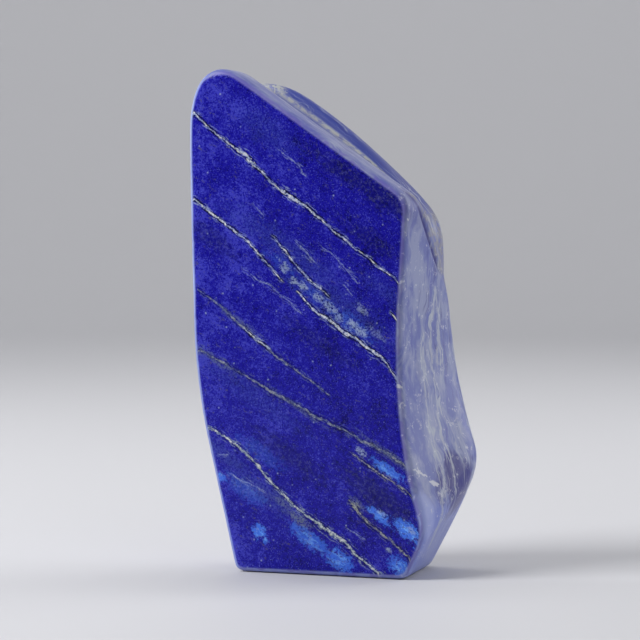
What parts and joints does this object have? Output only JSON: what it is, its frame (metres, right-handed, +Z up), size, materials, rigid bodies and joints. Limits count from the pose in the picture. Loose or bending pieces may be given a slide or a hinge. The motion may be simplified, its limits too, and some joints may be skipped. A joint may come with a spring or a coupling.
{
  "type": "polished lapis lazuli freeform",
  "caption": "Free-standing polished slab of blue lapis lazuli with pale slanting veins, a sloping top with a ridge and hump, and a flat sawn base.",
  "frame": {"origin": "on the flat base, under the centre of the stone's box", "axes": "+Z up through the stone, -Y out of the flat polished front face, +X towards the flank with the belly"},
  "size_m": [0.0856, 0.046, 0.1602],
  "materials": {
    "lapis": "polished"
  },
  "bodies": {
    "root": {"lapis_stone": "lapis"}
  },
  "joints": []
}
